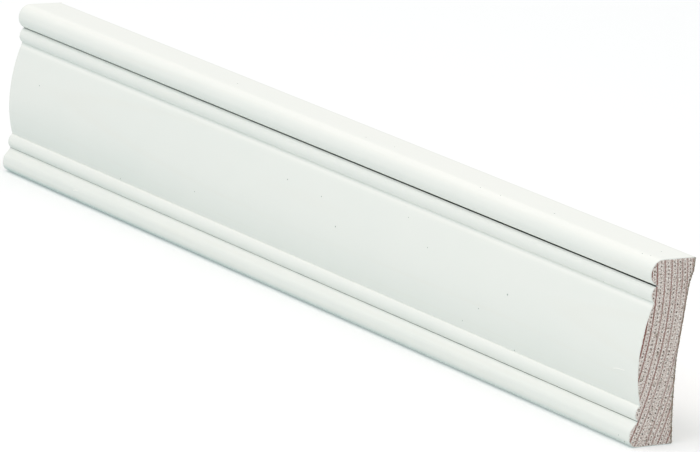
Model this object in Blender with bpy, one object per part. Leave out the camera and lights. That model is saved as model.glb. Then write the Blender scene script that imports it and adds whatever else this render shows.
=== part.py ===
"""A cover strip moulding: one straight length of painted pine, cut square at both ends.

The section is drawn as (depth, rise) points in metres. Depth runs out from the wall plane
behind the strip, and rise runs up from its underside. The section is drawn out along X.
The moulded face looks along -Y, the back along +Y, and the strip stands on its underside.
The origin is the middle of the underside of the bounding box.
"""

import math

import bmesh
import bpy

# Overall size of the length of moulding
LENGTH = 0.400
HEIGHT = 0.070
THICKNESS = 0.021

# Heights of the members of the moulded face. The belly takes the rest of HEIGHT.
NOSE_HEIGHT = 0.0097
UPPER_BEAD_HEIGHT = 0.0062
LOWER_BEAD_HEIGHT = 0.0058
TOE_HEIGHT = 0.0098

# How far the front of each member stands behind the front of the belly
NOSE_SETBACK = 0.0006
UPPER_BEAD_SETBACK = 0.0020
LOWER_BEAD_SETBACK = 0.0017
TOE_SETBACK = 0.0001

# Depth of the grooves and steps that part the members, behind the front of the belly
UPPER_QUIRK_DEPTH = 0.0039
UPPER_STEP_DEPTH = 0.0036
LOWER_STEP_DEPTH = 0.0033
LOWER_QUIRK_DEPTH = 0.0032

# Rounds of the face. The belly's crown is a share of its height, from its lower step.
NOSE_RADIUS = 0.0050
BELLY_CROWN_SHARE = 0.465
TOE_SLOPE = math.radians(49.6)
TOE_SHOULDER_RADIUS = 0.0028
TOE_UNDER_RADIUS = 0.0040

# The back: a flat land along the top, then a shallow hollow down to the lower edge
LAND_HEIGHT = 0.0050
SHOULDER_RUN = 0.0080
SHOULDER_DEPTH = 0.00155
HOLLOW_DEPTH = 0.00285
SHOULDER_BOW = 0.0003
HOLLOW_BOW = 0.0005
BACK_TOP_RADIUS = 0.0005
BACK_FOOT_RADIUS = 0.0008

# Largest turn and largest length of one facet of a round
FACET_TURN = math.radians(6.0)
FACET_LENGTH = 0.0015

# Paint on the pine, as a viewport colour (linear) and its gloss
PAINT_COLOUR = (0.80, 0.83, 0.79, 1.0)
PAINT_ROUGHNESS = 0.45

SHARP_ANGLE = math.radians(28.0)


def facet_count(radius, turn):
    """Number of straight facets for an arc."""
    by_turn = abs(turn) / FACET_TURN
    by_length = abs(turn) * radius / FACET_LENGTH
    return max(2, math.ceil(max(by_turn, by_length)))


def arc_points(centre, radius, start, end):
    """Points along an arc from the angle start to the angle end, both ends included."""
    count = facet_count(radius, end - start)
    points = []
    for i in range(count + 1):
        angle = start + (end - start) * i / count
        depth = centre[0] + radius * math.cos(angle)
        rise = centre[1] + radius * math.sin(angle)
        points.append((depth, rise))
    return points


def upright_arc(crown, end):
    """Arc that stands upright at crown, its foremost point, and falls back to end."""
    back = crown[0] - end[0]
    run = end[1] - crown[1]
    radius = (back * back + run * run) / (2.0 * back)
    centre = (crown[0] - radius, crown[1])
    turn = math.atan2(run, radius - back)
    points = arc_points(centre, radius, 0.0, turn)
    points[0] = crown
    points[-1] = end
    return points


def round_member(low, crown, high):
    """A member's rounded front, from its lower edge over its crown to its upper edge."""
    return upright_arc(crown, low)[::-1] + upright_arc(crown, high)[1:]


def bowed(start, end, bow):
    """Shallow arc from start to end that swells by bow to the right of its way."""
    run = (end[0] - start[0], end[1] - start[1])
    chord = math.hypot(*run)
    radius = (chord * chord / 4.0 + bow * bow) / (2.0 * bow)
    half_turn = math.asin(chord / 2.0 / radius)
    middle = ((start[0] + end[0]) / 2.0, (start[1] + end[1]) / 2.0)
    away = (run[1] / chord, -run[0] / chord)
    reach = radius - bow
    centre = (middle[0] - away[0] * reach, middle[1] - away[1] * reach)
    facing = math.atan2(away[1], away[0])
    points = arc_points(centre, radius, facing - half_turn, facing + half_turn)
    points[0] = start
    points[-1] = end
    return points


def rounded_corner(before, corner, after, radius):
    """Fillet at a corner. A radius too large for the two sides is brought down to fit."""
    back = (before[0] - corner[0], before[1] - corner[1])
    ahead = (after[0] - corner[0], after[1] - corner[1])
    back_length = math.hypot(*back)
    ahead_length = math.hypot(*ahead)
    back = (back[0] / back_length, back[1] / back_length)
    ahead = (ahead[0] / ahead_length, ahead[1] / ahead_length)
    half_corner = math.acos(back[0] * ahead[0] + back[1] * ahead[1]) / 2.0
    room = 0.49 * min(back_length, ahead_length)
    trim = min(radius / math.tan(half_corner), room)
    radius = trim * math.tan(half_corner)
    inward = (back[0] + ahead[0], back[1] + ahead[1])
    scale = radius / math.sin(half_corner) / math.hypot(*inward)
    centre = (corner[0] + inward[0] * scale, corner[1] + inward[1] * scale)
    first = (corner[0] + back[0] * trim, corner[1] + back[1] * trim)
    last = (corner[0] + ahead[0] * trim, corner[1] + ahead[1] * trim)
    start = math.atan2(first[1] - centre[1], first[0] - centre[0])
    turn = math.pi - 2.0 * half_corner
    points = arc_points(centre, radius, start, start + turn)
    points[0] = first
    points[-1] = last
    return points


def moulded_face():
    """The face from the toe's lower round up to the nose's upper round."""
    lower_quirk = (THICKNESS - LOWER_QUIRK_DEPTH, TOE_HEIGHT)
    lower_step = (THICKNESS - LOWER_STEP_DEPTH, TOE_HEIGHT + LOWER_BEAD_HEIGHT)
    upper_quirk = (THICKNESS - UPPER_QUIRK_DEPTH, HEIGHT - NOSE_HEIGHT)
    upper_step = (THICKNESS - UPPER_STEP_DEPTH, upper_quirk[1] - UPPER_BEAD_HEIGHT)
    belly_height = upper_step[1] - lower_step[1]

    # The toe: a straight slope from the quirk, a small shoulder and a larger lower round
    toe_front = THICKNESS - TOE_SETBACK
    drop = (toe_front - lower_quirk[0]) * math.tan(TOE_SLOPE)
    underside = (0.0, 0.0)
    toe_corner = (toe_front, 0.0)
    shoulder = (toe_front, lower_quirk[1] - drop)
    under_radius = min(TOE_UNDER_RADIUS, 0.8 * shoulder[1])
    under_top = (toe_front, under_radius)
    face = arc_points(
        (toe_front - under_radius, under_radius), under_radius, -math.pi / 2.0, 0.0
    )
    face[0] = (toe_corner[0] - under_radius, underside[1])
    face[-1] = under_top
    face += rounded_corner(under_top, shoulder, lower_quirk, TOE_SHOULDER_RADIUS)

    # The lower bead, the belly and the upper bead, each round between its two edges
    lower_crown = (THICKNESS - LOWER_BEAD_SETBACK, lower_quirk[1] + LOWER_BEAD_HEIGHT / 2.0)
    belly_crown = (THICKNESS, lower_step[1] + BELLY_CROWN_SHARE * belly_height)
    upper_crown = (THICKNESS - UPPER_BEAD_SETBACK, upper_quirk[1] - UPPER_BEAD_HEIGHT / 2.0)
    face += round_member(lower_quirk, lower_crown, lower_step)
    face += round_member(lower_step, belly_crown, upper_step)[1:]
    face += round_member(upper_step, upper_crown, upper_quirk)[1:]

    # The nose: from the quirk out to its front, then a quarter round to the top edge
    nose_front = THICKNESS - NOSE_SETBACK
    nose_crown = (nose_front, HEIGHT - NOSE_RADIUS)
    nose_centre = (nose_front - NOSE_RADIUS, HEIGHT - NOSE_RADIUS)
    face += upright_arc(nose_crown, upper_quirk)[::-1][1:]
    quarter = arc_points(nose_centre, NOSE_RADIUS, 0.0, math.pi / 2.0)
    quarter[-1] = (nose_centre[0], HEIGHT)
    face += quarter[1:]
    return face


def back(last_front, first_front):
    """The back from the top edge down to the underside, between the face's two ends."""
    land_foot = (0.0, HEIGHT - LAND_HEIGHT)
    shoulder = (SHOULDER_DEPTH, land_foot[1] - SHOULDER_RUN)
    deepest = (HOLLOW_DEPTH, land_foot[1] / 2.0)
    heel = (0.0, 0.0)
    points = rounded_corner(last_front, (0.0, HEIGHT), land_foot, BACK_TOP_RADIUS)
    points += bowed(shoulder, land_foot, SHOULDER_BOW)[::-1]
    points.append(deepest)
    hollow_foot = (0.0, BACK_FOOT_RADIUS)
    points += bowed(hollow_foot, deepest, HOLLOW_BOW)[::-1][1:]
    points += rounded_corner(hollow_foot, heel, first_front, BACK_FOOT_RADIUS)
    return points


def section():
    """The closed outline of the section, turning anticlockwise, with no point twice."""
    face = moulded_face()
    outline = face + back(face[-1], face[0])
    kept = []
    for point in outline:
        if not kept or math.dist(point, kept[-1]) > FACET_LENGTH / 100.0:
            kept.append(point)
    return kept


def pine_with_white_paint():
    """The look of the whole strip: satin white paint."""
    material = bpy.data.materials.new("white_paint")
    material.use_nodes = True
    material.diffuse_color = PAINT_COLOUR
    shader = material.node_tree.nodes["Principled BSDF"]
    shader.inputs["Base Color"].default_value = PAINT_COLOUR
    shader.inputs["Roughness"].default_value = PAINT_ROUGHNESS
    shader.inputs["Metallic"].default_value = 0.0
    return material


def cover_strip_moulding():
    """The moulding: its section as a face, drawn out along X."""
    bm = bmesh.new()
    half_length = LENGTH / 2.0
    corners = []
    for depth, rise in section():
        corners.append(bm.verts.new((-half_length, THICKNESS / 2.0 - depth, rise)))
    end_face = bm.faces.new(corners)
    drawn = bmesh.ops.extrude_face_region(bm, geom=[end_face], use_keep_orig=True)
    moved = [v for v in drawn["geom"] if isinstance(v, bmesh.types.BMVert)]
    bmesh.ops.translate(bm, verts=moved, vec=(LENGTH, 0.0, 0.0))
    bmesh.ops.recalc_face_normals(bm, faces=bm.faces)

    mesh = bpy.data.meshes.new("cover_strip_moulding")
    bm.to_mesh(mesh)
    bm.free()
    mesh.shade_smooth()
    mesh.set_sharp_from_angle(angle=SHARP_ANGLE)
    mesh.materials.append(pine_with_white_paint())
    strip = bpy.data.objects.new("cover_strip_moulding", mesh)
    bpy.context.scene.collection.objects.link(strip)
    return strip


for old in list(bpy.data.objects):
    bpy.data.objects.remove(old, do_unlink=True)
cover_strip_moulding()
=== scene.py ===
"""The looks of a cover strip moulding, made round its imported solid.

It is one length of machined pine with satin white paint on its face and its two edges. Both
ends are sawn square through the paint and show bare end grain. The back is planed and bare,
with a little paint carried round its edges. Lengths are in metres, in the solid's own frame:
X along the strip, the face towards -Y, the underside at Z 0.
"""

import math

import bmesh
import bpy
from mathutils import Matrix, Vector
from mathutils.bvhtree import BVHTree
from mathutils.geometry import delaunay_2d_cdt
import numpy as np


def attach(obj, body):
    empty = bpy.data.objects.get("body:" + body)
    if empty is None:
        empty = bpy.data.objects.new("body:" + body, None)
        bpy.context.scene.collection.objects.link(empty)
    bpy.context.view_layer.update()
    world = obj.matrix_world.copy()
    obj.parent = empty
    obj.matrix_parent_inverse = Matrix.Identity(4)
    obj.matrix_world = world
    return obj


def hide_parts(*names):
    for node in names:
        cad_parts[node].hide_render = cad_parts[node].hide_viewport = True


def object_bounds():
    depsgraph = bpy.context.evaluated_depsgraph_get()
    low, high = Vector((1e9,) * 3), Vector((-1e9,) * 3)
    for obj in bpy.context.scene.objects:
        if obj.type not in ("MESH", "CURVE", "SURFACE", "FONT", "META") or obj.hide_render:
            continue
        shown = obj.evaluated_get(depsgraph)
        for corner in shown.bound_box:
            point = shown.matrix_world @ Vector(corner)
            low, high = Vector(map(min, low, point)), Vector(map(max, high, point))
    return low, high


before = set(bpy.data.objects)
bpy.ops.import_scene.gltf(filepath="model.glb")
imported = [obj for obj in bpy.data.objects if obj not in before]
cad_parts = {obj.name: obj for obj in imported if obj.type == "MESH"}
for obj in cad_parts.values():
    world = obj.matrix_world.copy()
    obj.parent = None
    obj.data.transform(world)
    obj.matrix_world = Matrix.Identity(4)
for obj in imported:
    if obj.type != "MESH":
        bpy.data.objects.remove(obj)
CAD_LOW, CAD_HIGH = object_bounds()

NODE = "cover_strip_moulding"
MM = 0.001
SEED = 7
LENGTH = CAD_HIGH.x - CAD_LOW.x
HEIGHT = CAD_HIGH.z
NEAR_X = CAD_HIGH.x
BACK_Y = CAD_HIGH.y
CENTRE = (CAD_LOW + CAD_HIGH) / 2

# Growth rings, seen on the sawn end as arcs round a pith in front of the face. Depth is
# measured forward from the back plane, rise up from the underside. The skew makes the rings
# a little flatter above the pith than below it. Each latewood line has its own strength, and
# fades faster on its outer side, by the ratio given.
PITH_DEPTH = 116.6 * MM
PITH_RISE = 52.0 * MM
RING_SKEW = 14.2
OUTER_FADE_RATIO = 1.7
LATEWOOD_RADII = np.array((95.1, 97.5, 100.05, 103.65, 106.8, 109.55, 111.85, 114.2, 116.8,
                           119.35, 121.4, 123.2, 125.5, 127.8, 130.1)) * MM
LATEWOOD_STRENGTHS = np.array((0.90, 1.00, 0.86, 0.72, 0.80, 0.60, 0.16, 0.60, 0.60,
                               0.74, 0.42, 0.85, 0.60, 0.55, 0.55))
# One ring is faint over most of its height and comes out near the top edge
FAINT_RING = 6
FAINT_RING_GAIN = 0.50
FAINT_RING_FROM = 50 * MM
FAINT_RING_FADE = 10 * MM
TRUNK_TAPER = 3.1 * MM
TRUNK_WANDER = 0.7 * MM
TRUNK_BENDS = 1.3

# The swept skin. Edges of the outline that are long, or on the back, are split into steps. The
# back's edges are the steep ones within its reach of the back plane.
STATIONS = 150
LONG_EDGE = 1.6 * MM
BACK_REACH = 3.2 * MM
END_CROWDING = 0.9
FLAT_STEP = 1.2 * MM
BACK_STEP = 0.55 * MM
UNEVENNESS = 0.03 * MM
RAISED_GRAIN_BARE = 0.035 * MM
RAISED_GRAIN_PAINTED = 0.012 * MM
RAISED_GRAIN_WIDTH = 0.35 * MM

# The two quirks: a narrow slit at the bottom of each, with a dark line of painted shade in it.
# Mouth is half the slit's width. Along the outline, each side of the slit has full painted shade as
# far as its first number and none from its second. The sides are the member above and the one below.
QUIRK_TURN = math.radians(90)
UPPER_SLIT = {"depth": 0.6 * MM, "mouth": 0.12 * MM, "above": (0.80 * MM, 0.86 * MM),
              "below": (0.50 * MM, 0.54 * MM)}
LOWER_SLIT = {"depth": 0.20 * MM, "mouth": 0.03 * MM, "above": (0.04 * MM, 0.08 * MM),
              "below": (0.14 * MM, 0.17 * MM)}
# Towards the far end the painted shade in each quirk fades, by up to the fade share: from a share
# of the strip's length on, and by the full share one run later
QUIRK_SHADE_FADE = 0.65
QUIRK_SHADE_FADE_RUN = 0.65
QUIRK_SHADE_FADE_FROM_UPPER = 0.30
QUIRK_SHADE_FADE_FROM_LOWER = 0.05

# Painted light just below each hollow corner of the face, whiter paint where the member above
# shades it; less of it at the two lower corners
HOLLOW_TURN = math.radians(30)
PAINTED_LIGHT_REACH = 1.9 * MM
PAINTED_LIGHT_SHARE_LOWER = 0.35

# Painted shade, darker and cooler, on the toe's foot by the floor and on faces that look down. Each
# has a share at the near end and gains as much as its second number towards the far end.
FOOT_TOP = 2.8 * MM
FOOT_FADE = 1.8 * MM
FOOT_SHARES = (0.55, 0.45)
DOWN_STRENGTH = 0.5
DOWN_SHARES = (0.1, 0.9)

# Greyer film along the sawn ends' arrises and along the top edge's back arris
END_GREY = 0.8
END_GREY_WIDTH = 0.25 * MM
TOP_GREY = 0.7
TOP_GREY_WIDTH = 0.5 * MM

# The sawn ends
PAINT_FILM = 0.16 * MM
RIDGE_HEIGHT = 0.07 * MM
RIDGE_WIDTH = 0.30 * MM
RIDGE_OFFSETS = (-0.6 * MM, -0.25 * MM, 0.0, 0.16 * MM)
RING_POINT_STEP = 0.85 * MM
FILL_STEP = 0.9 * MM
PIT_SPACING = 1.45 * MM
PIT_RADIUS = 0.25 * MM
PIT_SLOPE = 0.15 * MM
PIT_ROOM = 0.80 * MM
PIT_DEPTH = 0.25 * MM
PIT_SIDES = 6
PIT_SIZES = (0.7, 1.15)
PIT_EDGE_ROOM = 0.45 * MM
LOOSE_PITS_PER_ROW_PIT = 1.6
LOOSE_PIT_SIZES = (0.35, 0.7)
FILL_JITTER = 0.3
SAWN_ROUGHNESS = 0.012 * MM
POINT_GAP = 0.16 * MM
TORN_WIDTH = 0.56 * MM
CHIP_DEPTH = 0.25 * MM

# Dust under the paint: distance from the near end, depth from the back plane and rise, then
# the size of the speck, all in millimetres
DUST = (
    (262.9, 11.1, 70.0, 0.26), (380.6, 20.6, 40.7, 0.26), (322.8, 18.0, 16.5, 0.26),
    (270.8, 20.2, 24.8, 0.24), (213.7, 20.0, 44.5, 0.24), (191.6, 20.2, 43.5, 0.24),
    (64.0, 13.5, 70.0, 0.30), (75.9, 20.9, 36.5, 0.36), (91.6, 20.5, 26.8, 0.24),
    (101.8, 18.9, 19.2, 0.24), (71.7, 17.9, 16.1, 0.26), (139.9, 19.0, 48.8, 0.20),
    (125.0, 20.5, 41.2, 0.24), (9.8, 17.1, 69.7, 0.22), (6.1, 16.4, 69.9, 0.20),
    (9.4, 8.5, 70.0, 0.22), (5.9, 20.8, 3.3, 0.22), (3.1, 20.1, 1.6, 0.34),
    (177.5, 13.3, 70.0, 0.24), (162.5, 11.1, 70.0, 0.22), (180.1, 21.0, 34.7, 0.32),
    (91.5, 16.7, 69.8, 0.22), (103.3, 16.8, 69.8, 0.22), (27.9, 17.8, 54.4, 0.24),
)
DUST_HEIGHT = 0.3

# Small pimples of paint, with their sizes in millimetres
PAINT_NIBS = 110
NIB_HEIGHT = 0.28
NIB_SIZES = (0.10, 0.20)
NIBS_ON_TOP = 0.25

# Hairs caught in the film: their two ends, as distance from the near end and rise, and the height
# of their wave, in millimetres. The bend is how far the wave has run at the end, in radians.
HAIRS = (((13.6, 26.15), (7.4, 27.2)), ((349.5, 4.8), (346.8, 5.5)))
HAIR_WAVE = 0.18
HAIR_BEND = 4.0
HAIR_POINTS = 14
HAIR_RADIUS = 0.13 * MM

# Torn fibres at the sawn arrises, with lengths and roots in millimetres. A painted edge has few
# of them, and none points down this close to the underside.
WHISKERS_AT_END = 70
WHISKERS_ON_PAINT = 0.08
WHISKER_LENGTHS = (0.25, 0.8)
WHISKER_ROOTS = (0.02, 0.12)
WHISKER_SINK = 0.05
WHISKER_OUTWARD = 0.6
WHISKER_SWAY = 0.7
WHISKER_TILT = 0.9
WHISKER_FLOOR_ROOM = 1 * MM

SHARP_ANGLE = math.radians(28)


def linear(code):
    """Linear colour of an sRGB hex value, opaque."""
    channels = [int(code[i:i + 2], 16) / 255 for i in (1, 3, 5)]
    return [c / 12.92 if c <= 0.04045 else ((c + 0.055) / 1.055) ** 2.4 for c in channels] + [1.0]


def add(tree, kind, links=(), **settings):
    """Add a node with its settings, and link or set its inputs, given by name or number."""
    node = tree.nodes.new(kind)
    for name, value in settings.items():
        setattr(node, name, value)
    for socket, value in dict(links).items():
        if isinstance(value, bpy.types.NodeSocket):
            tree.links.new(value, node.inputs[socket])
        else:
            node.inputs[socket].default_value = value
    return node


def new_material(name):
    """An empty node material and its tree."""
    material = bpy.data.materials.new(name)
    material.use_nodes = True
    material.node_tree.nodes.clear()
    return material, material.node_tree


def satin_white_paint():
    """Satin acrylic paint, sprayed on planed pine: even white, faintly cool, softly shiny.

    The film is greyer on the arrises. Painted shade, darker and cooler, lies round the toe's foot
    and where faces look down, painted light lies just below the hollow corners, and a dark line of
    painted shade lies in the quirks.
    """
    material, tree = new_material("satin_white_paint")
    place = add(tree, "ShaderNodeTexCoord").outputs["Object"]
    grain, greyed, gap, pool, underside_shade = (
        add(tree, "ShaderNodeAttribute", attribute_name=name).outputs["Fac"]
        for name in ("grain", "arris", "gap", "pool", "lean_coat"))

    clouds = add(tree, "ShaderNodeTexNoise", {"Vector": place, "Scale": 22.0, "Detail": 3.0})
    body = add(tree, "ShaderNodeMix", {0: clouds.outputs[0], 6: linear("#EAECE6"), 7: linear("#E5E9E3")},
               data_type="RGBA")
    thin = add(tree, "ShaderNodeMapRange", {0: grain, 2: 0.5 * MM, 3: 0.35, 4: 0.0})
    colour = body.outputs[2]
    # Tints: grain showing through, greyer arrises, painted shade, painted light, painted quirk shade
    for share, tint in ((thin.outputs[0], "#E6E7DF"), (greyed, "#C9CAC3"), (underside_shade, "#BDCECA"),
                        (pool, "#FBFBF5"), (gap, "#20261D")):
        colour = add(tree, "ShaderNodeMix", {0: share, 6: colour, 7: linear(tint)},
                     data_type="RGBA").outputs[2]

    # Fibres of the pine lie along X, a few tenths of a millimetre wide and centimetres long
    along = add(tree, "ShaderNodeMapping", {"Vector": place, "Scale": (30.0, 1500.0, 1500.0)})
    fibres = add(tree, "ShaderNodeTexNoise", {"Vector": along.outputs[0], "Scale": 1.0, "Detail": 2.0})
    # Orange peel of a sprayed coat, about 1.2 mm from bump to bump
    peel = add(tree, "ShaderNodeTexNoise", {"Vector": place, "Scale": 800.0, "Detail": 1.0})
    fibre_bump = add(tree, "ShaderNodeBump", {"Strength": 0.35, "Distance": 0.015 * MM,
                                              "Height": fibres.outputs[0]})
    bump = add(tree, "ShaderNodeBump", {"Strength": 0.5, "Distance": 0.012 * MM,
                                        "Height": peel.outputs[0], "Normal": fibre_bump.outputs[0]})
    rough = add(tree, "ShaderNodeMapRange", {0: clouds.outputs[0], 3: 0.54, 4: 0.62})
    shader = add(tree, "ShaderNodeBsdfPrincipled", {
        "Base Color": colour, "Roughness": rough.outputs[0], "IOR": 1.48, "Normal": bump.outputs[0]})
    add(tree, "ShaderNodeOutputMaterial", {"Surface": shader.outputs[0]})
    return material


def sawn_pine_end():
    """Bare pine cut across the grain by a saw: pinkish grey, dull, with rust-red latewood lines."""
    material, tree = new_material("sawn_pine_end")
    place = add(tree, "ShaderNodeTexCoord").outputs["Object"]
    grain, tone, pit, edge = (
        add(tree, "ShaderNodeAttribute", attribute_name=name).outputs["Fac"]
        for name in ("grain", "ring_tone", "pit", "arris"))

    # Cut tracheids, in clumps 0.4 mm across
    cells = add(tree, "ShaderNodeTexNoise", {"Vector": place, "Scale": 2400.0, "Detail": 2.0,
                                             "Roughness": 0.6})
    patches = add(tree, "ShaderNodeTexNoise", {"Vector": place, "Scale": 1700.0, "Detail": 1.0})
    light = add(tree, "ShaderNodeMapRange", {0: cells.outputs[0], 1: 0.41, 2: 0.55}).outputs[0]
    early, red, torn = (
        add(tree, "ShaderNodeMix", {0: share, 6: linear(first), 7: linear(last)},
            data_type="RGBA").outputs[2]
        for share, first, last in ((light, "#BFA69C", "#FFFBF5"), (tone, "#8D6559", "#783423"),
                                   (light, "#3A3026", "#857658")))
    faded = add(tree, "ShaderNodeMapRange", {0: patches.outputs[0], 1: 0.42, 2: 0.64, 4: 0.65})

    # Latewood lines, about 0.6 mm wide, some redder than others
    wander = add(tree, "ShaderNodeMath", {0: cells.outputs[0], 1: 0.55 * MM}, operation="MULTIPLY")
    nearness = add(tree, "ShaderNodeMath", {0: grain, 1: wander.outputs[0]}, operation="ADD")
    late = add(tree, "ShaderNodeMapRange", {0: nearness.outputs[0], 1: 0.42 * MM, 2: 0.92 * MM,
                                            3: 1.0, 4: 0.0}, interpolation_type="SMOOTHSTEP")
    strength = add(tree, "ShaderNodeMath", {0: late.outputs[0], 1: tone}, operation="MULTIPLY")
    colour = early
    for share, over in ((faded.outputs[0], linear("#BBA598")), (strength.outputs[0], red),
                        (pit, linear("#42291D")), (edge, torn)):
        colour = add(tree, "ShaderNodeMix", {0: share, 6: colour, 7: over}, data_type="RGBA").outputs[2]

    # Saw marks: uneven lines that the blade's teeth leave, 0.8 mm apart
    across = add(tree, "ShaderNodeMapping", {"Vector": place, "Rotation": (math.radians(28), 0.0, 0.0)})
    teeth = add(tree, "ShaderNodeTexWave", {"Vector": across.outputs[0], "Scale": 390.0,
                                            "Distortion": 1.5, "Detail Scale": 2.0},
                bands_direction="Z")
    marks = add(tree, "ShaderNodeBump", {"Strength": 0.5, "Distance": 0.03 * MM,
                                         "Height": teeth.outputs["Fac"]})
    bump = add(tree, "ShaderNodeBump", {"Strength": 0.8, "Distance": 0.06 * MM,
                                        "Height": cells.outputs[0], "Normal": marks.outputs[0]})
    shader = add(tree, "ShaderNodeBsdfPrincipled", {
        "Base Color": colour, "Roughness": 0.86, "IOR": 1.4, "Normal": bump.outputs[0]})
    add(tree, "ShaderNodeOutputMaterial", {"Surface": shader.outputs[0]})
    return material


def planed_pine_back():
    """Bare planed pine along the grain, pale and dull, with paint carried over its two edges."""
    material, tree = new_material("planed_pine_back")
    place = add(tree, "ShaderNodeTexCoord").outputs["Object"]
    grain, tone, edge = (
        add(tree, "ShaderNodeAttribute", attribute_name=name).outputs["Fac"]
        for name in ("grain", "ring_tone", "edge_distance"))

    along = add(tree, "ShaderNodeMapping", {"Vector": place, "Scale": (14.0, 1300.0, 1300.0)})
    fibres = add(tree, "ShaderNodeTexNoise", {"Vector": along.outputs[0], "Scale": 1.0, "Detail": 4.0,
                                              "Roughness": 0.65})
    shade = add(tree, "ShaderNodeMapRange", {0: fibres.outputs[0], 1: 0.3, 2: 0.7})
    early = add(tree, "ShaderNodeMix", {0: shade.outputs[0], 6: linear("#C9AE93"),
                                        7: linear("#E3D0B9")}, data_type="RGBA")
    wander = add(tree, "ShaderNodeMath", {0: fibres.outputs[0], 1: 0.5 * MM}, operation="MULTIPLY")
    nearness = add(tree, "ShaderNodeMath", {0: grain, 1: wander.outputs[0]}, operation="ADD")
    late = add(tree, "ShaderNodeMapRange", {0: nearness.outputs[0], 1: 0.2 * MM, 2: 0.95 * MM,
                                            3: 0.9, 4: 0.0}, interpolation_type="SMOOTHSTEP")
    strength = add(tree, "ShaderNodeMath", {0: late.outputs[0], 1: tone}, operation="MULTIPLY")
    # Resin canals: short dark streaks, 0.2 mm wide and some 8 mm long
    canals = add(tree, "ShaderNodeMapping", {"Vector": place, "Scale": (60.0, 2600.0, 2600.0)})
    specks = add(tree, "ShaderNodeTexNoise", {"Vector": canals.outputs[0], "Scale": 1.0, "Detail": 0.0})
    canal = add(tree, "ShaderNodeMapRange", {0: specks.outputs[0], 1: 0.70, 2: 0.78, 4: 0.45})

    # Overspray reaches 0.4 to 3.2 mm in from the painted edges
    fray = add(tree, "ShaderNodeTexNoise", {"Vector": along.outputs[0], "Scale": 0.35, "Detail": 3.0})
    reach = add(tree, "ShaderNodeMapRange", {0: fray.outputs[0], 1: 0.3, 2: 0.7, 3: 0.4 * MM, 4: 3.2 * MM})
    spare = add(tree, "ShaderNodeMath", {0: reach.outputs[0], 1: edge}, operation="SUBTRACT")
    film = add(tree, "ShaderNodeMapRange", {0: spare.outputs[0], 1: -0.25 * MM, 2: 0.35 * MM, 4: 0.93})
    colour = early.outputs[2]
    for share, tint in ((strength, "#A77852"), (canal, "#7C5236"), (film, "#E9ECE5")):
        colour = add(tree, "ShaderNodeMix", {0: share.outputs[0], 6: colour, 7: linear(tint)},
                     data_type="RGBA").outputs[2]

    # Planer knife marks, 1.6 mm apart across the grain
    knives = add(tree, "ShaderNodeTexWave", {"Vector": place, "Scale": 196.0}, bands_direction="X")
    marks = add(tree, "ShaderNodeBump", {"Strength": 0.3, "Distance": 0.02 * MM,
                                         "Height": knives.outputs["Fac"]})
    bump = add(tree, "ShaderNodeBump", {"Strength": 0.6, "Distance": 0.05 * MM,
                                        "Height": fibres.outputs[0], "Normal": marks.outputs[0]})
    rough = add(tree, "ShaderNodeMapRange", {0: film.outputs[0], 3: 0.74, 4: 0.5})
    shader = add(tree, "ShaderNodeBsdfPrincipled", {
        "Base Color": colour, "Roughness": rough.outputs[0], "IOR": 1.45, "Normal": bump.outputs[0]})
    add(tree, "ShaderNodeOutputMaterial", {"Surface": shader.outputs[0]})
    return material


def two_toned(name, scale, dark, light, roughness, ior):
    """A plain finish for the smallest pieces, clouded between two colours."""
    material, tree = new_material(name)
    place = add(tree, "ShaderNodeTexCoord").outputs["Object"]
    noise = add(tree, "ShaderNodeTexNoise", {"Vector": place, "Scale": scale})
    colour = add(tree, "ShaderNodeMix", {0: noise.outputs[0], 6: linear(dark), 7: linear(light)},
                 data_type="RGBA")
    shader = add(tree, "ShaderNodeBsdfPrincipled", {
        "Base Color": colour.outputs[2], "Roughness": roughness, "IOR": ior})
    add(tree, "ShaderNodeOutputMaterial", {"Surface": shader.outputs[0]})
    return material


def pith_radius(points):
    """Distance of points (n, 3) from the pith, which drifts a little along the strip."""
    along = (NEAR_X - points[:, 0]) / LENGTH
    rise = points[:, 2] - PITH_RISE
    depth = BACK_Y - points[:, 1]
    drift = TRUNK_TAPER * along + TRUNK_WANDER * np.sin(2 * math.pi * TRUNK_BENDS * along)
    return np.hypot(PITH_DEPTH - depth, rise) + RING_SKEW * rise ** 3 + drift


def ring_place(radius, x, rise):
    """The y at which the ring of that radius crosses the height rise, at x."""
    # What the radius reads beyond one metre, at a point one metre from the pith, is the drift
    drift = pith_radius(np.array([[x, BACK_Y - PITH_DEPTH + 1.0, PITH_RISE]]))[0] - 1.0
    up = rise - PITH_RISE
    reach = radius - drift - RING_SKEW * up ** 3
    return BACK_Y - PITH_DEPTH + np.sqrt(np.maximum(reach ** 2 - up ** 2, 0.0))


def latewood(points):
    """For points (n, 3): the distance to the nearest latewood line, and that line's number.

    Distance on a line's outer side counts for more, because latewood ends sharply there.
    """
    radius = pith_radius(points)
    number = np.abs(radius[:, None] - LATEWOOD_RADII[None, :]).argmin(1)
    off = radius - LATEWOOD_RADII[number]
    return np.where(off > 0, OUTER_FADE_RATIO * off, -off), number


def walked_loop(edges):
    """The vertices of a closed loop of edges in order, anticlockwise seen from +X."""
    after = {}
    for edge in edges:
        for a, b in (edge.verts[:], edge.verts[:][::-1]):
            after.setdefault(a, []).append(b)
    here = edges[0].verts[0]
    loop = [here]
    while len(loop) < len(edges):
        here = next(v for v in after[here] if v not in loop[-2:])
        loop.append(here)
    if signed_area(np.array([(v.co.y, v.co.z) for v in loop])) < 0:
        loop.reverse()
    return loop


def cad_outline():
    """The solid's section as (y, z) points in order, anticlockwise seen from +X."""
    bm = bmesh.new()
    bm.from_mesh(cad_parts[NODE].data)
    bmesh.ops.remove_doubles(bm, verts=bm.verts, dist=1e-6)
    at_end = {v for v in bm.verts if v.co.x > NEAR_X - 1e-5}
    rim = [e for e in bm.edges if set(e.verts) <= at_end
           and sum(f.normal.x > 0.9 for f in e.link_faces) == 1]
    points = np.array([(v.co.y, v.co.z) for v in walked_loop(rim)])
    bm.free()
    return points


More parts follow.
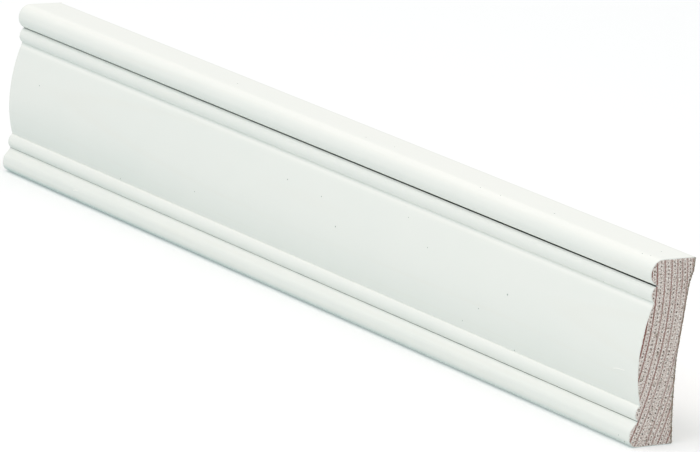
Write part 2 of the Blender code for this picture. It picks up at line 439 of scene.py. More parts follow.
def signed_area(points):
    """Area inside a closed outline, positive when it runs anticlockwise."""
    following = np.roll(points, -1, axis=0)
    return 0.5 * float(np.sum(points[:, 0] * following[:, 1] - following[:, 0] * points[:, 1]))


def turn_at(points, i):
    """How far the outline turns at point i, positive at an outer corner."""
    before = points[i] - points[i - 1]
    after = points[(i + 1) % len(points)] - points[i]
    return math.atan2(before[0] * after[1] - before[1] * after[0], before @ after)


def with_slit(points, tip, slit):
    """Cut a slit into the outline at its corner tip, and grade painted shade on both sides.

    Returns the outline with the points that this takes, and each one's share of painted shade.
    """
    count = len(points)
    sides = {}
    for way, side in ((-1, "above"), (1, "below")):
        dark, clear = slit[side]
        marks = sorted((slit["mouth"], dark, clear))
        spots = []
        walked, step, here = 0.0, 0, points[tip]
        while walked < marks[-1]:
            step += 1
            there = points[(tip + way * step) % count]
            length = float(np.hypot(*(there - here)))
            spots += [(here + (there - here) * (mark - walked) / length, mark)
                      for mark in marks if walked < mark < walked + length]
            walked += length
            here = there
            spots.append((there, walked))
        sides[side] = [(spot, min(max((clear - away) / (clear - dark), 0.0), 1.0))
                       for spot, away in spots]
        sides[side + "_steps"] = step
    ahead = points[(tip + 1) % count] - points[tip]
    behind = points[tip - 1] - points[tip]
    inward = -(ahead / np.hypot(*ahead) + behind / np.hypot(*behind))
    bottom = points[tip] + inward / np.hypot(*inward) * slit["depth"]
    near = sides["above"][::-1] + [(bottom, 1.0)] + sides["below"]
    first = sides["below_steps"] + 1
    others = count - first - sides["above_steps"]
    far = [(points[(tip + first + i) % count], 0.0) for i in range(others)]
    return np.array([spot for spot, _ in near + far]), np.array([dark for _, dark in near + far])


def dressed_outline():
    """The outline with points added on flats and the back, and a slit cut in each quirk.

    Returns the points, and for each one whether it is on the bare back, its share of painted
    shade in the quirks and its share of painted light below the hollow corners.
    """
    outline = cad_outline()
    hollows = np.array([outline[i] for i in range(len(outline)) if turn_at(outline, i) < -HOLLOW_TURN])
    dark = np.zeros(len(outline))
    # Each slit brings a dark line of painted shade for its points
    for is_upper, slit in ((True, UPPER_SLIT), (False, LOWER_SLIT)):
        tips = [i for i in range(len(outline)) if turn_at(outline, i) < -QUIRK_TURN and dark[i] == 0.0]
        tip = sorted(tips, key=lambda i: outline[i][1])[-1 if is_upper else 0]
        known = {tuple(point): value for point, value in zip(outline, dark)}
        outline, fresh = with_slit(outline, tip, slit)
        dark = np.array([max(known.get(tuple(point), 0.0), value) for point, value in zip(outline, fresh)])

    points, bare, gap = [], [], []
    for i, corner in enumerate(outline):
        following = outline[(i + 1) % len(outline)]
        run = following - corner
        length = float(np.hypot(*run))
        on_back = run[1] > 0.7 * length and corner[0] > BACK_Y - BACK_REACH
        step = BACK_STEP if on_back else FLAT_STEP
        parts = max(1, math.ceil(length / step)) if length > LONG_EDGE or on_back else 1
        for k in range(parts):
            share = k / parts
            points.append(tuple(corner + run * share))
            bare.append(float(on_back))
            gap.append(dark[i] * (1 - share) + dark[(i + 1) % len(outline)] * share)
    points = np.array(points)
    # Painted light, fading with distance below each hollow corner
    run = points[:, None, :] - hollows[None, :, :]
    share = np.where(hollows[:, 1] > HEIGHT / 2, 1.0, PAINTED_LIGHT_SHARE_LOWER)
    pool = np.where(run[:, :, 1] < 0, share * np.exp(-(run ** 2).sum(2) / PAINTED_LIGHT_REACH ** 2), 0.0).max(1)
    return points, np.array(bare), np.array(gap), pool


def read(items, field, width):
    """A field of all items as an array of that many columns."""
    values = np.zeros(len(items) * width, np.float32)
    items.foreach_get(field, values)
    return values.reshape(-1, width).astype(float)


def store(mesh, name, values, kind="FLOAT"):
    """Write values to a point attribute of the mesh, which is made if it isn't there."""
    layer = mesh.attributes.get(name) or mesh.attributes.new(name, kind, "POINT")
    field = "vector" if kind == "FLOAT_VECTOR" else "value"
    layer.data.foreach_set(field, np.array(values, np.float32).ravel())


def outline_mesh():
    """The dressed outline as a mesh of points, for the sweep to read."""
    points, bare, gap, pool = dressed_outline()
    mesh = bpy.data.meshes.new("section_points")
    mesh.from_pydata([(0.0, y, z) for y, z in points], [], [])
    for name, values in (("bare", bare), ("gap", gap), ("pool", pool)):
        store(mesh, name, values)
    return mesh


def node_group(name, sockets):
    """A geometry node tree with its named inputs, as {name: (socket type, default)}."""
    tree = bpy.data.node_groups.new(name, "GeometryNodeTree")
    tree.interface.new_socket(name="Geometry", in_out="INPUT", socket_type="NodeSocketGeometry")
    tree.interface.new_socket(name="Geometry", in_out="OUTPUT", socket_type="NodeSocketGeometry")
    for label, (kind, default) in sockets.items():
        socket = tree.interface.new_socket(name=label, in_out="INPUT", socket_type=kind)
        if default is not None:
            socket.default_value = default
    return tree, add(tree, "NodeGroupInput").outputs


def run_nodes(mesh, tree, name, **values):
    """Put mesh through a geometry node tree and return the result as a plain object."""
    worker = bpy.data.objects.new(name + "_source", mesh)
    bpy.context.scene.collection.objects.link(worker)
    modifier = worker.modifiers.new("nodes", "NODES")
    modifier.node_group = tree
    for item in tree.interface.items_tree:
        key = item.name.lower().replace(" ", "_")
        if item.in_out == "INPUT" and key in values:
            modifier[item.identifier] = values[key]
    depsgraph = bpy.context.evaluated_depsgraph_get()
    made = bpy.data.meshes.new_from_object(
        worker.evaluated_get(depsgraph), preserve_all_data_layers=True, depsgraph=depsgraph)
    made.name = name
    bpy.data.objects.remove(worker)
    piece = bpy.data.objects.new(name, made)
    bpy.context.scene.collection.objects.link(piece)
    return piece


def section_sweep():
    """Sweeps a ring of section points along X. Stations crowd towards both ends."""
    tree, given = node_group("section_sweep", {
        "Length": ("NodeSocketFloat", LENGTH),
        "Stations": ("NodeSocketInt", STATIONS),
        "Crowding": ("NodeSocketFloat", END_CROWDING),
        "Unevenness": ("NodeSocketFloat", UNEVENNESS),
        "Face": ("NodeSocketMaterial", None),
        "Back": ("NodeSocketMaterial", None),
    })
    count = add(tree, "GeometryNodeAttributeDomainSize", {0: given["Geometry"]}).outputs["Point Count"]
    columns = add(tree, "ShaderNodeMath", {0: count, 1: 1.0}, operation="ADD").outputs[0]
    grid = add(tree, "GeometryNodeMeshGrid", {"Vertices X": given["Stations"], "Vertices Y": columns})
    index = add(tree, "GeometryNodeInputIndex").outputs[0]
    column = add(tree, "ShaderNodeMath", {0: index, 1: columns}, operation="MODULO").outputs[0]
    point = add(tree, "ShaderNodeMath", {0: column, 1: count}, operation="MODULO").outputs[0]
    row = add(tree, "ShaderNodeMath", {0: index, 1: columns}, operation="DIVIDE").outputs[0]
    station = add(tree, "ShaderNodeMath", {0: row}, operation="FLOOR").outputs[0]
    last = add(tree, "ShaderNodeMath", {0: given["Stations"], 1: 1.0}, operation="SUBTRACT").outputs[0]
    share = add(tree, "ShaderNodeMath", {0: station, 1: last}, operation="DIVIDE").outputs[0]
    turn = add(tree, "ShaderNodeMath", {0: share, 1: 2 * math.pi}, operation="MULTIPLY").outputs[0]
    wave = add(tree, "ShaderNodeMath", {0: turn}, operation="SINE").outputs[0]
    crowd = add(tree, "ShaderNodeMath", {0: given["Crowding"], 1: -2 * math.pi},
                operation="DIVIDE").outputs[0]
    eased = add(tree, "ShaderNodeMath", {0: wave, 1: crowd, 2: share},
                operation="MULTIPLY_ADD").outputs[0]
    centred = add(tree, "ShaderNodeMath", {0: eased, 1: 0.5}, operation="SUBTRACT").outputs[0]
    x = add(tree, "ShaderNodeMath", {0: centred, 1: given["Length"]}, operation="MULTIPLY").outputs[0]

    position = add(tree, "GeometryNodeInputPosition").outputs[0]
    corner = add(tree, "GeometryNodeSampleIndex", {"Geometry": given["Geometry"], "Value": position,
                                                   "Index": point}, data_type="FLOAT_VECTOR")
    split = add(tree, "ShaderNodeSeparateXYZ", {0: corner.outputs[0]}).outputs
    place = add(tree, "ShaderNodeCombineXYZ", {"X": x, "Y": split["Y"], "Z": split["Z"]}).outputs[0]
    skin = add(tree, "GeometryNodeSetPosition", {"Geometry": grid.outputs["Mesh"],
                                                 "Position": place}).outputs[0]
    for name in ("bare", "gap", "pool"):
        field = add(tree, "GeometryNodeInputNamedAttribute", {"Name": name}, data_type="FLOAT")
        value = add(tree, "GeometryNodeSampleIndex", {
            "Geometry": given["Geometry"], "Value": field.outputs["Attribute"], "Index": point},
            data_type="FLOAT")
        skin = add(tree, "GeometryNodeStoreNamedAttribute", {
            "Geometry": skin, "Name": name, "Value": value.outputs[0]},
            data_type="FLOAT", domain="POINT").outputs[0]
    closed = add(tree, "GeometryNodeMergeByDistance", {"Geometry": skin, "Distance": 1e-7}).outputs[0]

    # Planed and sanded faces are never quite flat: low waves, some 40 mm long and 12 mm wide
    stretch = add(tree, "ShaderNodeVectorMath", {0: position, 1: (25.0, 85.0, 85.0)}, operation="MULTIPLY")
    noise = add(tree, "ShaderNodeTexNoise", {"Vector": stretch.outputs[0], "Scale": 1.0, "Detail": 1.0})
    swing = add(tree, "ShaderNodeMapRange", {0: noise.outputs[0], 3: -1.0})
    lift = add(tree, "ShaderNodeMath", {0: swing.outputs[0], 1: given["Unevenness"]}, operation="MULTIPLY")
    normal = add(tree, "GeometryNodeInputNormal").outputs[0]
    offset = add(tree, "ShaderNodeVectorMath", {0: normal, "Scale": lift.outputs[0]}, operation="SCALE")
    across = add(tree, "ShaderNodeVectorMath", {0: offset.outputs[0], 1: (0.0, 1.0, 1.0)},
                 operation="MULTIPLY")
    waved = add(tree, "GeometryNodeSetPosition", {"Geometry": closed,
                                                  "Offset": across.outputs[0]}).outputs[0]

    on_back = add(tree, "GeometryNodeInputNamedAttribute", {"Name": "bare"}, data_type="FLOAT")
    is_back = add(tree, "FunctionNodeCompare", {0: on_back.outputs["Attribute"], 1: 0.6},
                  data_type="FLOAT", operation="GREATER_THAN").outputs[0]
    painted = add(tree, "GeometryNodeSetMaterial", {"Geometry": waved,
                                                    "Material": given["Face"]}).outputs[0]
    backed = add(tree, "GeometryNodeSetMaterial", {"Geometry": painted, "Selection": is_back,
                                                   "Material": given["Back"]}).outputs[0]
    real = add(tree, "GeometryNodeRealizeInstances", {"Geometry": backed}).outputs[0]
    add(tree, "NodeGroupOutput", {"Geometry": real})
    return tree


def edge_distances(places, loop, wanted=slice(None)):
    """Distance of places (n, 2) from the wanted edges of a closed loop of points, or from all."""
    starts = loop[wanted]
    runs = np.roll(loop, -1, axis=0)[wanted] - starts
    lengths = np.maximum((runs ** 2).sum(1), 1e-18)
    away = places[:, None, :] - starts[None, :, :]
    share = np.clip((away * runs[None]).sum(2) / lengths[None], 0.0, 1.0)
    return np.hypot(*np.moveaxis(away - share[..., None] * runs[None], 2, 0)).min(1)


def inside(places, loop):
    """Whether places (n, 2) lie inside a closed loop of points."""
    following = np.roll(loop, -1, axis=0)
    y, z = places[:, 0:1], places[:, 1:2]
    spans = (loop[None, :, 1] > z) != (following[None, :, 1] > z)
    slope = (following[:, 0] - loop[:, 0]) / np.where(
        following[:, 1] == loop[:, 1], 1.0, following[:, 1] - loop[:, 1])
    crossing = loop[None, :, 0] + (z - loop[None, :, 1]) * slope[None]
    return (spans & (y < crossing)).sum(1) % 2 == 1


def end_grain_points(x, loop, draw):
    """Points of the sawn face inside its outline, as rows of y, z, height and pit darkness."""
    rows = []
    middles = (LATEWOOD_RADII[1:] + LATEWOOD_RADII[:-1]) / 2
    gaps = LATEWOOD_RADII[1:] - LATEWOOD_RADII[:-1]

    # Pits first, because they may not be crowded out: a row along the middle of each pale band
    centres = []
    for middle, width in zip(middles, gaps):
        for rise in np.arange(0.6 * MM, HEIGHT, PIT_SPACING):
            z = rise + draw.normal(0.0, 0.10 * MM)
            radius = middle + draw.normal(0.0, 0.08 * MM)
            size = draw.uniform(*PIT_SIZES)
            centres.append((float(ring_place(radius, x, z)), z, size))
            for _ in range(draw.poisson(LOOSE_PITS_PER_ROW_PIT)):
                z = rise + draw.uniform(-0.5, 0.5) * PIT_SPACING
                radius = middle + draw.uniform(-0.4, 0.4) * width
                centres.append((float(ring_place(radius, x, z)), z, draw.uniform(*LOOSE_PIT_SIZES)))
    centres = np.array(centres)
    clear = inside(centres[:, :2], loop)
    clear &= edge_distances(centres[:, :2], loop) > PIT_EDGE_ROOM
    kept = []
    for y, z, size in sorted(centres[clear].tolist(), key=lambda pit: -pit[2]):
        if all((y - a) ** 2 + (z - b) ** 2 > PIT_ROOM ** 2 for a, b, _ in kept):
            kept.append((y, z, size))
    for y, z, size in kept:
        rows.append((y, z, -PIT_DEPTH * size, size))
        first = draw.uniform(0.0, math.pi)
        for reach, dark in ((PIT_RADIUS * size, 0.8 * size), (PIT_RADIUS * size + PIT_SLOPE, 0.0)):
            for k in range(PIT_SIDES):
                angle = first + 2 * math.pi * k / PIT_SIDES
                away = reach * draw.uniform(0.85, 1.15)
                rows.append((y + away * math.cos(angle), z + away * math.sin(angle), 0.0, dark))

    # Lines of points along each latewood ridge, then a loose fill between them
    fill = []
    for radius in LATEWOOD_RADII:
        for offset in RIDGE_OFFSETS:
            rises = np.arange(draw.uniform(0.0, RING_POINT_STEP), HEIGHT, RING_POINT_STEP)
            fill += [(ring_place(radius + offset, x, z), z) for z in rises]
    for z in np.arange(0.3 * MM, HEIGHT, FILL_STEP):
        for y in np.arange(CAD_LOW.y, BACK_Y, FILL_STEP):
            fill.append((y + draw.uniform(-FILL_JITTER, FILL_JITTER) * FILL_STEP,
                         z + draw.uniform(-FILL_JITTER, FILL_JITTER) * FILL_STEP))
    fill = np.array(fill, float)
    clear = inside(fill, loop)
    clear &= edge_distances(fill, loop) > PAINT_FILM + POINT_GAP
    taken = {}

    def is_free(y, z):
        cell = (int(y // POINT_GAP), int(z // POINT_GAP))
        for a in (-1, 0, 1):
            for b in (-1, 0, 1):
                for other in taken.get((cell[0] + a, cell[1] + b), ()):
                    if math.hypot(other[0] - y, other[1] - z) < POINT_GAP:
                        return False
        taken.setdefault(cell, []).append((y, z))
        return True

    for row in rows:
        is_free(row[0], row[1])
    rows += [(y, z, 0.0, 0.0) for y, z in fill[clear] if is_free(y, z)]
    rows = np.array(rows)
    near, _ = latewood(np.column_stack([np.full(len(rows), x), rows[:, 0], rows[:, 1]]))
    rows[:, 2] += RIDGE_HEIGHT * np.exp(-(near / RIDGE_WIDTH) ** 2) * (rows[:, 3] == 0.0)
    rows[:, 2] += draw.normal(0.0, SAWN_ROUGHNESS, len(rows))
    return rows


def close_end(bm, side, slots, draw):
    """Close one end of the skin with a sawn face: rings, pits and the cut edge of the film."""
    film_slot, sawn_slot = slots
    pit_layer = bm.verts.layers.float["pit"]
    bare_layer = bm.verts.layers.float["bare"]
    rim = walked_loop([e for e in bm.edges if len(e.link_faces) == 1 and e.verts[0].co.x * side > 0])
    loop = np.array([(v.co.y, v.co.z) for v in rim])
    x = rim[0].co.x
    count = len(rim)
    painted = np.array([v[bare_layer] < 0.5 for v in rim])
    coated = painted & np.roll(painted, -1)

    # The inner line of the paint film, one point behind each painted point of the outline
    runs = np.roll(loop, -1, axis=0) - loop
    runs /= np.hypot(runs[:, 0], runs[:, 1])[:, None]
    mean = runs + np.roll(runs, 1, axis=0)
    mean /= np.maximum(np.hypot(mean[:, 0], mean[:, 1]), 0.3)[:, None]
    inner = loop + np.column_stack([-mean[:, 1], mean[:, 0]]) * PAINT_FILM
    rows = end_grain_points(x, loop, draw)
    places = np.vstack([loop, inner[painted], rows[:, :2]])
    numbers = np.full(count, -1)
    numbers[painted] = count + np.arange(painted.sum())
    edges = [(i, (i + 1) % count) for i in range(count)]
    edges += [(int(numbers[i]), int(numbers[(i + 1) % count])) for i in np.flatnonzero(coated)]
    in_mm = [Vector((float(a) / MM, float(b) / MM)) for a, b in places]
    made, _, faces, origins, _, _ = delaunay_2d_cdt(in_mm, edges, [], 1, 1e-5)

    verts = []
    first_row = count + int(painted.sum())
    for place, origin in zip(made, origins):
        source = min(origin) if origin else None
        if source is not None and source < count:
            verts.append(rim[source])
            continue
        height, pit = 0.0, 0.0
        if source is not None and source >= first_row:
            height, pit = rows[source - first_row][2:]
        vert = bm.verts.new((x + side * height, place.x * MM, place.y * MM))
        vert[pit_layer] = pit
        verts.append(vert)
    centres = np.array([[sum(made[i][k] for i in face) / 3 * MM for k in (0, 1)] for face in faces])
    film = edge_distances(centres, loop, coated) < 0.8 * PAINT_FILM
    for face, is_film in zip(faces, film):
        corners = [verts[i] for i in face]
        if len(set(corners)) < 3 or bm.faces.get(corners):
            continue
        sawn = bm.faces.new(corners if side > 0 else corners[::-1])
        sawn.material_index = film_slot if is_film else sawn_slot
        sawn.smooth = True


def painted_strip(paint, end, back):
    """The strip itself: the swept skin, closed by two sawn ends."""
    piece = run_nodes(outline_mesh(), section_sweep(), "painted_pine_strip", face=paint, back=back)
    mesh = piece.data
    mesh.materials.append(end)
    slots = mesh.materials.find(paint.name), mesh.materials.find(end.name)
    bm = bmesh.new()
    bm.from_mesh(mesh)
    bm.verts.layers.float.new("pit")
    draw = np.random.default_rng(SEED)
    for side in (1, -1):
        close_end(bm, side, slots, draw)
    bmesh.ops.recalc_face_normals(bm, faces=bm.faces)
    bm.to_mesh(mesh)
    bm.free()
    mark_grain(mesh)
    mesh.shade_smooth()
    mesh.set_sharp_from_angle(angle=SHARP_ANGLE)
    return piece


def mark_grain(mesh):
    """Store what the materials read, and raise the latewood along the planed faces."""
    places = read(mesh.vertices, "co", 3)
    normals = read(mesh.vertices, "normal", 3)
    bare = read(mesh.attributes["bare"].data, "value", 1)[:, 0]
    gap = read(mesh.attributes["gap"].data, "value", 1)[:, 0]

    near, number = latewood(places)
    along = (NEAR_X - places[:, 0]) / LENGTH
    is_end = (along < 1e-3) | (along > 1 - 1e-3)
    raised = np.where(bare > 0.5, RAISED_GRAIN_BARE, RAISED_GRAIN_PAINTED)
    lift = raised * np.exp(-(near / RAISED_GRAIN_WIDTH) ** 2) * ~is_end
    places[:, 1:] += normals[:, 1:] * lift[:, None]
    mesh.vertices.foreach_set("co", places.astype(np.float32).ravel())
    mesh.update()

    # The painted shade in both quirks fades towards the far end of the strip, the lower one sooner
    start = np.where(places[:, 2] > HEIGHT / 2, QUIRK_SHADE_FADE_FROM_UPPER, QUIRK_SHADE_FADE_FROM_LOWER)
    gap = gap * (1.0 - QUIRK_SHADE_FADE * np.clip((along - start) / QUIRK_SHADE_FADE_RUN, 0.0, 1.0))
    # Painted shade on the toe's foot and on the faces that look down, strongest at the far end
    foot = np.clip((FOOT_TOP - places[:, 2]) / FOOT_FADE, 0.0, 1.0)
    foot *= FOOT_SHARES[0] + FOOT_SHARES[1] * along
    down = DOWN_STRENGTH * np.clip(-normals[:, 2], 0.0, 1.0)
    down *= DOWN_SHARES[0] + DOWN_SHARES[1] * along
    underside_shade = np.maximum(foot, down)
    torn = torn_rim(places, is_end)
    inward = np.where(along < 0.5, -1.0, 1.0)
    chips = np.random.default_rng(SEED + 2).uniform(0.0, 1.0, len(places))
    places[:, 0] += inward * torn * CHIP_DEPTH * chips
    mesh.vertices.foreach_set("co", places.astype(np.float32).ravel())
    rising = np.clip((places[:, 2] - FAINT_RING_FROM) / FAINT_RING_FADE, 0.0, 1.0)
    tone = LATEWOOD_STRENGTHS[number] + FAINT_RING_GAIN * rising * (number == FAINT_RING)
    # How far the back's points are from its painted top and bottom arrises
    from_arris = np.minimum(HEIGHT - places[:, 2], places[:, 2])
    values = {"grain": near, "ring_tone": tone, "gap": gap, "lean_coat": underside_shade,
              "arris": np.maximum(arris_greying(places), torn), "edge_distance": from_arris}
    for name, value in values.items():
        store(mesh, name, value)


def torn_rim(places, is_end):
    """How torn the sawn face is, from 0 to 1: most along its unpainted back edge."""
    loop, bare, _, _ = dressed_outline()
    torn = np.zeros(len(places))
    away = edge_distances(places[is_end][:, 1:], loop, bare > 0.5)
    torn[is_end] = np.exp(-(away / TORN_WIDTH) ** 2)
    return torn


def arris_greying(places):
    """Greying from 0 to 1: along the top edge's back arris and round both sawn ends."""
    from_end = np.minimum(NEAR_X - places[:, 0], places[:, 0] - CAD_LOW.x)
    on_skin = from_end > 0.02 * MM
    at_end = np.exp(-(from_end / END_GREY_WIDTH) ** 2) * on_skin * END_GREY
    top_back = np.hypot(BACK_Y - places[:, 1], HEIGHT - places[:, 2])
    at_top = np.exp(-(top_back / TOP_GREY_WIDTH) ** 2) * TOP_GREY
    return np.clip(np.maximum(at_end, at_top), 0.0, 1.0)


def scattered(name, rows, flatness, finish, shape, **shape_inputs):
    """A piece of one small shape, set at each row's place with its Z along the row's facing.

    A row is a place, a facing and a size. The shape is scaled by the size, and flattened.
    """
    points = bpy.data.meshes.new(name + "_points")
    points.from_pydata([place for place, _, _ in rows], [], [])
    store(points, "facing", [facing[:] for _, facing, _ in rows], "FLOAT_VECTOR")
    store(points, "size", [size for _, _, size in rows])
    tree, given = node_group(name + "_nodes", {
        "Flatness": ("NodeSocketFloat", 1.0),
        "Finish": ("NodeSocketMaterial", None),
    })
    inputs = {key.replace("_", " "): value for key, value in shape_inputs.items()}
    solid = add(tree, shape, inputs).outputs["Mesh"]
    facing = add(tree, "GeometryNodeInputNamedAttribute", {"Name": "facing"}, data_type="FLOAT_VECTOR")
    size = add(tree, "GeometryNodeInputNamedAttribute", {"Name": "size"}, data_type="FLOAT")
    turn = add(tree, "FunctionNodeAlignRotationToVector", {"Vector": facing.outputs["Attribute"]}, axis="Z")
    low = add(tree, "ShaderNodeMath", {0: size.outputs["Attribute"], 1: given["Flatness"]},
              operation="MULTIPLY")
    scale = add(tree, "ShaderNodeCombineXYZ", {
        "X": size.outputs["Attribute"], "Y": size.outputs["Attribute"], "Z": low.outputs[0]})
    placed = add(tree, "GeometryNodeInstanceOnPoints", {
        "Points": given["Geometry"], "Instance": solid, "Rotation": turn.outputs[0],
        "Scale": scale.outputs[0]})
    real = add(tree, "GeometryNodeRealizeInstances", {"Geometry": placed.outputs[0]})
    smooth = add(tree, "GeometryNodeSetShadeSmooth", {"Geometry": real.outputs[0]})
    done = add(tree, "GeometryNodeSetMaterial", {"Geometry": smooth.outputs[0],
                                                 "Material": given["Finish"]})
    add(tree, "NodeGroupOutput", {"Geometry": done.outputs[0]})
    return run_nodes(points, tree, name, flatness=flatness, finish=finish)


def dust_specks(skin, dust):
    """The specks of dust that show in the paint, each set on the strip's surface."""
    rows = []
    for from_end, depth, rise, size in DUST:
        wanted = Vector((NEAR_X - from_end * MM, BACK_Y - depth * MM, rise * MM))
        place, facing, _, _ = skin.find_nearest(wanted)
        rows.append((place, facing, size * MM))
    return scattered("dust_specks", rows, DUST_HEIGHT, dust,
                     "GeometryNodeMeshIcoSphere", Radius=1.0, Subdivisions=2)


def paint_nibs(skin, paint):
    """Small pimples of paint, scattered over the front and the top edge."""
    draw = np.random.default_rng(SEED + 3)
    rows = []
    while len(rows) < PAINT_NIBS:
        x = draw.uniform(CAD_LOW.x + 2 * MM, NEAR_X - 2 * MM)
        if draw.uniform() < NIBS_ON_TOP:
            origin = Vector((x, draw.uniform(CAD_LOW.y + 1 * MM, BACK_Y - 1 * MM), 1.0))
            way = Vector((0, 0, -1))
        else:
            origin = Vector((x, -1.0, draw.uniform(2 * MM, HEIGHT - 1 * MM)))
            way = Vector((0, 1, 0))
        place, facing, _, _ = skin.ray_cast(origin, way)
        if place is not None and facing.dot(way) < -0.5:
            rows.append((place, facing, draw.uniform(*NIB_SIZES) * MM))
    return scattered("paint_nibs", rows, NIB_HEIGHT, paint,
                     "GeometryNodeMeshIcoSphere", Radius=1.0, Subdivisions=2)


def torn_whiskers(fibre):
    """Loose fibres that stand out from the sawn arrises, most of them at the bare back."""
    draw = np.random.default_rng(SEED + 4)
    loop, bare, _, _ = dressed_outline()
    away = np.roll(loop, -1, axis=0) - np.roll(loop, 1, axis=0)
    away = np.column_stack([away[:, 1], -away[:, 0]]) / np.hypot(away[:, 0], away[:, 1])[:, None]
    weights = np.where(bare > 0.5, 1.0, WHISKERS_ON_PAINT)
    rows = []
    for x, side in ((NEAR_X, 1.0), (CAD_LOW.x, -1.0)):
        for i in draw.choice(len(loop), WHISKERS_AT_END, replace=False, p=weights / weights.sum()):
            root = loop[i] - away[i] * WHISKER_SINK * MM
            place = Vector((x - side * draw.uniform(*WHISKER_ROOTS) * MM, *root))
            tilt = draw.uniform(-WHISKER_TILT, WHISKER_TILT, 2)
            rise = away[i][1] * WHISKER_OUTWARD + WHISKER_SWAY * tilt[1]
            if place.z <= WHISKER_FLOOR_ROOM:
                rise = abs(rise)
            facing = Vector((side * (0.2 + abs(tilt[0])), away[i][0] * WHISKER_OUTWARD, rise))
            rows.append((place, facing.normalized(), draw.uniform(*WHISKER_LENGTHS) * MM))
    return scattered("torn_whiskers", rows, 1.0, fibre, "GeometryNodeMeshCone", Vertices=4,
                     Radius_Top=0.015, Radius_Bottom=0.07, Depth=1.0)


def hair_nodes():
    """Turns lines of edges into thin round hairs."""
    tree, given = node_group("hair_nodes", {
        "Radius": ("NodeSocketFloat", HAIR_RADIUS),
        "Finish": ("NodeSocketMaterial", None),
    })
    line = add(tree, "GeometryNodeMeshToCurve", {"Mesh": given["Geometry"]})
    ring = add(tree, "GeometryNodeCurvePrimitiveCircle", {"Resolution": 6, "Radius": given["Radius"]})
    tube = add(tree, "GeometryNodeCurveToMesh", {"Curve": line.outputs[0], "Profile Curve": ring.outputs[0],
                                                 "Fill Caps": True})
    real = add(tree, "GeometryNodeRealizeInstances", {"Geometry": tube.outputs[0]})
    done = add(tree, "GeometryNodeSetMaterial", {"Geometry": real.outputs[0],
                                                 "Material": given["Finish"]})
    add(tree, "NodeGroupOutput", {"Geometry": done.outputs[0]})
    return tree


def hairs_in_paint(skin, paint):
    """Brush hairs under the film, each a thin wavy line half sunk in the face."""
    places, edges = [], []
    for (start, low), (end, high) in HAIRS:
        for k in range(HAIR_POINTS):
            share = k / (HAIR_POINTS - 1)
            x = NEAR_X - (start + (end - start) * share) * MM
            z = (low + (high - low) * share + HAIR_WAVE * math.sin(HAIR_BEND * share)) * MM
            place, _, _, _ = skin.ray_cast(Vector((x, -1.0, z)), Vector((0, 1, 0)))
            if k:
                edges.append((len(places) - 1, len(places)))
            places.append(place)
    mesh = bpy.data.meshes.new("hair_lines")
    mesh.from_pydata(places, edges, [])
    # The hairs take the full painted light, so they show whiter than the face
    store(mesh, "pool", np.ones(len(places)))
    return run_nodes(mesh, hair_nodes(), "hairs_in_paint", radius=HAIR_RADIUS, finish=paint)


def white_floor():
    """A plain pale floor, wide enough for every view."""
    mesh = bpy.data.meshes.new("floor")
    corners = [(x * FLOOR_REACH, y * FLOOR_REACH, 0.0) for x, y in ((-1, -1), (1, -1), (1, 1), (-1, 1))]
    mesh.from_pydata(corners, [], [(0, 1, 2, 3)])
    mesh.transform(Matrix.Translation((0.0, 0.0, -FLOOR_DROP)))
    floor = bpy.data.objects.new("floor", mesh)
    bpy.context.scene.collection.objects.link(floor)
    material, tree = new_material("pale_floor")
    shader = add(tree, "ShaderNodeBsdfPrincipled", {
        "Base Color": FLOOR_COLOUR, "Roughness": 1.0, "Specular IOR Level": 0.0,
        "Emission Color": FLOOR_GLOW, "Emission Strength": 1.0})
    add(tree, "ShaderNodeOutputMaterial", {"Surface": shader.outputs[0]})
    mesh.materials.append(material)


# Studio: an even pale tent, wide soft lights overhead and high in front, a weak one to the right.
# The floor is a pale lit table, so the shadow at the strip's foot stays soft.
FLOOR_REACH = 6.0
FLOOR_DROP = 0.1 * MM
FLOOR_COLOUR = (0.695, 0.70, 0.695, 1.0)
FLOOR_GLOW = (0.22, 0.235, 0.235, 1.0)
TENT_COLOUR = (0.69, 0.92, 1.0, 1.0)
TENT_STRENGTH = 0.45
LIGHTS = {
    "overhead": {"place": (0.0, 0.3, 3.2), "size": 5.0, "watts": 96.5, "colour": (1.0, 0.835, 0.79)},
    "front": {"place": (0.0, -2.0, 3.2), "size": 2.4, "watts": 60.0, "colour": (1.0, 0.88, 0.86)},
    "right": {"place": (0.55, -0.75, 0.35), "size": 0.4, "watts": 0.5, "colour": (1.0, 0.96, 0.93)},
}

# Camera, set to the view in which the strip was photographed
CAMERA_AZIMUTH = math.radians(50.856)
CAMERA_ELEVATION = math.radians(13.729)
CAMERA_ROLL = math.radians(6.670)
CAMERA_LENS = 305.13
CAMERA_PLACE = (1.72346, -1.39002, 0.57114)


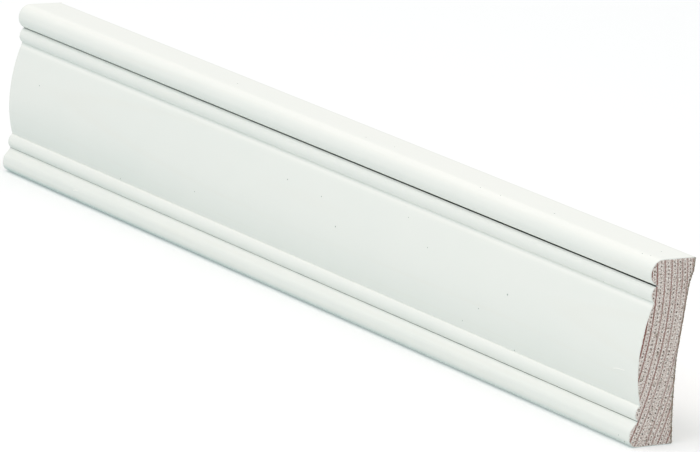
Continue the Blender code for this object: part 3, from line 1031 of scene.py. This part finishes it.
def studio():
    """The tent, the soft lights and the camera."""
    scene = bpy.context.scene
    scene.view_settings.view_transform = "Standard"
    world = bpy.data.worlds.new("tent")
    world.use_nodes = True
    world.node_tree.nodes["Background"].inputs["Color"].default_value = TENT_COLOUR
    world.node_tree.nodes["Background"].inputs["Strength"].default_value = TENT_STRENGTH
    scene.world = world
    for name, lamp in LIGHTS.items():
        light = bpy.data.lights.new(name, "AREA")
        light.size = lamp["size"]
        light.energy = lamp["watts"]
        light.color = lamp["colour"]
        holder = bpy.data.objects.new(name, light)
        holder.location = lamp["place"]
        aim = CENTRE - holder.location
        holder.rotation_euler = aim.to_track_quat("-Z", "Y").to_euler()
        scene.collection.objects.link(holder)

    lens = bpy.data.cameras.new("camera")
    lens.sensor_fit = "HORIZONTAL"
    lens.sensor_width = 36.0
    lens.lens = CAMERA_LENS
    lens.clip_start = 0.05
    lens.clip_end = 50.0
    camera = bpy.data.objects.new("camera", lens)
    turn = Matrix.Rotation(CAMERA_AZIMUTH, 4, "Z")
    tilt = turn @ Matrix.Rotation(math.pi / 2 - CAMERA_ELEVATION, 4, "X")
    camera.matrix_world = Matrix.Translation(CAMERA_PLACE) @ tilt @ Matrix.Rotation(CAMERA_ROLL, 4, "Z")
    scene.collection.objects.link(camera)
    scene.camera = camera


studio()
white_floor()
paint = satin_white_paint()
strip = painted_strip(paint, sawn_pine_end(), planed_pine_back())
skin = BVHTree.FromPolygons([v.co[:] for v in strip.data.vertices],
                            [p.vertices[:] for p in strip.data.polygons])
# Workshop dust under the film: small grey-green rises in the white
specks = dust_specks(skin, two_toned("dust_in_paint", 900.0, "#8F9C92", "#B9C3BB", 0.5, 1.48))
nibs = paint_nibs(skin, paint)
hairs = hairs_in_paint(skin, paint)
# Loose pine fibre at a sawn edge: straw-coloured and dull
whiskers = torn_whiskers(two_toned("torn_fibre", 1500.0, "#A98563", "#D8C3A8", 0.9, 1.4))

for piece, slot in ((strip, "white_paint"), (specks, "white_paint"), (nibs, "white_paint"),
                    (hairs, "white_paint"), (whiskers, "bare_pine")):
    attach(piece, "root")
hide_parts(NODE)
